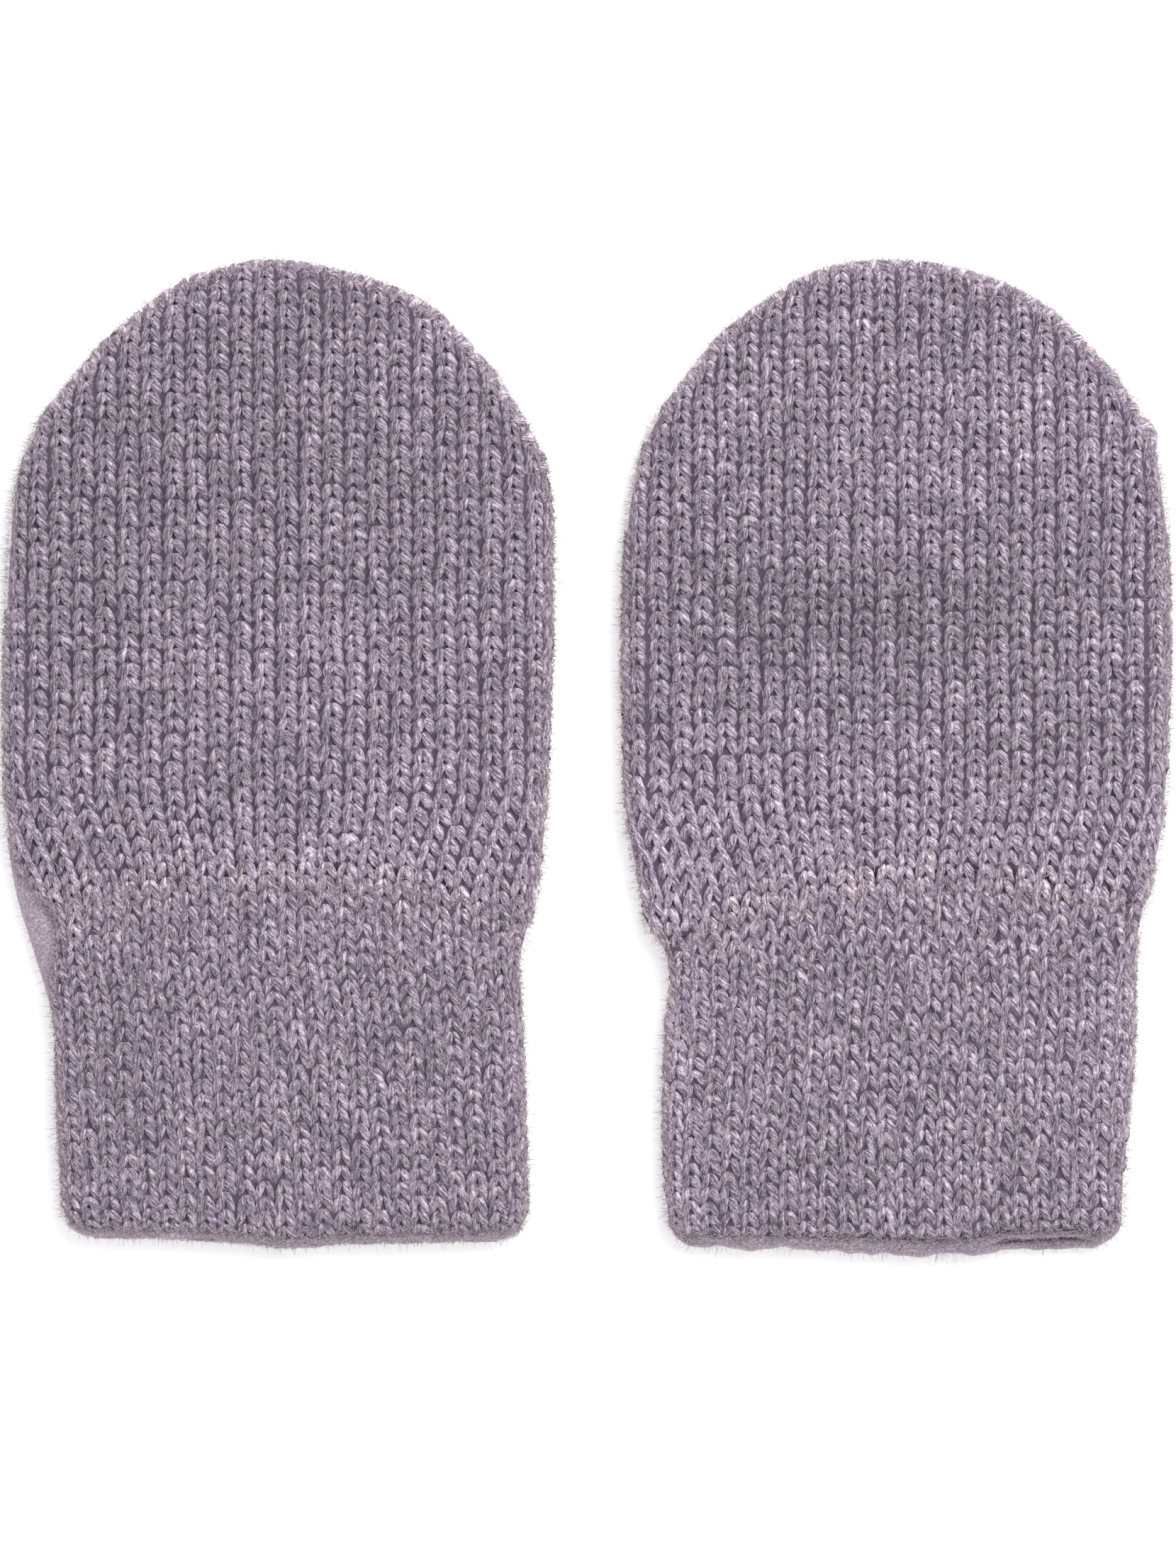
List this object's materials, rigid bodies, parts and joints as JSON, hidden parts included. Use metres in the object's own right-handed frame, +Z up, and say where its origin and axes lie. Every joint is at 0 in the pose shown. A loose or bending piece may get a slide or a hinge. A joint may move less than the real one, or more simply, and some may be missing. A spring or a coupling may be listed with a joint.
{
  "type": "pair of thumbless knitted baby mittens",
  "caption": "Pair of baby mittens in stockinette wool with a round sewn tip and a long close cuff, laid flat side by side.",
  "frame": {"origin": "centre of the pair's box, on the surface that the mittens lie on", "axes": "+X across the pair, from the left mitten to the right one; +Y from the cuffs to the fingertips; +Z up, out of the surface"},
  "size_m": [0.1487, 0.1266, 0.0071],
  "materials": {
    "yarn": "soft heathered wool yarn, matte and slightly fuzzy"
  },
  "bodies": {
    "root": {"left_hand_front": "yarn", "left_hand_back": "yarn", "left_cuff_front": "yarn", "left_cuff_back": "yarn", "right_hand_front": "yarn", "right_hand_back": "yarn", "right_cuff_front": "yarn", "right_cuff_back": "yarn"}
  },
  "joints": []
}
